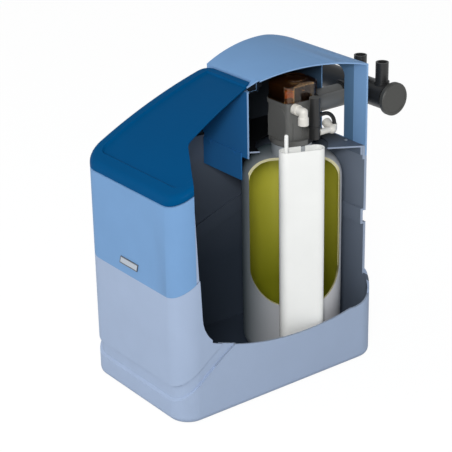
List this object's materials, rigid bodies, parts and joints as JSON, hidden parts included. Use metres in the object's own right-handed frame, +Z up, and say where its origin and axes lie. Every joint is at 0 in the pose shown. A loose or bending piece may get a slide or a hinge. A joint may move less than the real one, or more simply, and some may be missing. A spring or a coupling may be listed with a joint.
{
  "type": "water softener",
  "caption": "Cut-away cabinet water softener: two-tone brine tank with hinged salt lid, resin vessel with control valve, brine well with float, and a sliding bypass valve behind.",
  "frame": {"origin": "centre of the cabinet's footprint, on the floor", "axes": "+Z up, -Y front (badge side), +X cut-away side"},
  "size_m": [0.32, 0.604, 0.6256],
  "materials": {
    "tank_plastic": "moulded satin",
    "cover_plastic": "moulded satin",
    "lid_plastic": "gloss",
    "bright_steel": "zinc plated",
    "badge_metal": "polished",
    "badge_pale": "gloss",
    "vessel_grey": "wound fibre",
    "liner_olive": "moulded",
    "black_rubber": "matt",
    "pale_pvc": "extruded",
    "valve_plastic": "moulded",
    "gear_plastic": "moulded",
    "white_fitting": "gloss",
    "pipe_plastic": "moulded",
    "spool_plastic": "moulded",
    "knob_plastic": "moulded",
    "white_tube": "extruded",
    "float_foam": "foam",
    "amber_clear": "clear tinted"
  },
  "bodies": {
    "cabinet": {"brine_tank": "tank_plastic", "tank_deck": "tank_plastic", "deck_screws": "bright_steel", "top_cover": "cover_plastic", "salt_guard": "cover_plastic", "guard_rivets": "cover_plastic", "badge_frame": "badge_metal", "badge_plate": "badge_pale", "lid_hinge_pins": "bright_steel", "vessel_shell": "vessel_grey", "vessel_liner": "liner_olive", "neck_seal": "black_rubber", "riser_tube": "pale_pvc", "lower_distributor": "pale_pvc", "upper_distributor": "pale_pvc", "valve_body": "valve_plastic", "valve_cap": "valve_plastic", "gear_posts": "bright_steel", "valve_cover": "amber_clear", "brine_elbow": "white_fitting", "brine_elbow_nut": "white_fitting", "drain_elbow": "white_fitting", "drain_elbow_nut": "white_fitting", "drain_hose": "black_rubber", "inlet_pipe": "valve_plastic", "outlet_pipe": "valve_plastic", "pipe_clip": "pipe_plastic", "bypass_body": "pipe_plastic", "bypass_end_cap": "pipe_plastic", "brine_well": "white_tube", "brine_rod": "white_tube", "air_check": "white_tube", "float_stop": "black_rubber"},
    "lid": {"salt_lid": "lid_plastic"},
    "bypass": {"bypass_spool": "spool_plastic", "spool_seals": "black_rubber", "bypass_knob": "knob_plastic", "bypass_left_knob": "knob_plastic"},
    "float": {"brine_float": "float_foam"},
    "program": {"program_gear": "gear_plastic"},
    "meter": {"meter_gear": "gear_plastic"}
  },
  "joints": [
    {"name": "lid_hinge", "type": "hinge", "parent": "cabinet", "child": "lid", "pos_m": [-0.08, 0.053, 0.58425], "axis": [-1, 0, 0], "range_deg": [0, 85]},
    {"name": "bypass_slide", "type": "slide", "parent": "cabinet", "child": "bypass", "axis": [1, 0, 0], "range_m": [0, 0.022]},
    {"name": "float_slide", "type": "slide", "parent": "cabinet", "child": "float", "axis": [0, 0, 1], "range_m": [0, 0.22]},
    {"name": "program_spin", "type": "hinge", "parent": "cabinet", "child": "program", "pos_m": [0.0004, 0.1263, 0.556], "axis": [0, 0, 1], "continuous": true},
    {"name": "meter_spin", "type": "hinge", "parent": "cabinet", "child": "meter", "pos_m": [0.02855, 0.14751, 0.556], "axis": [0, 0, 1], "continuous": true}
  ],
  "couplings": [
    {"joint": "meter_spin", "follows": "program_spin", "ratio": -1.3333}
  ]
}
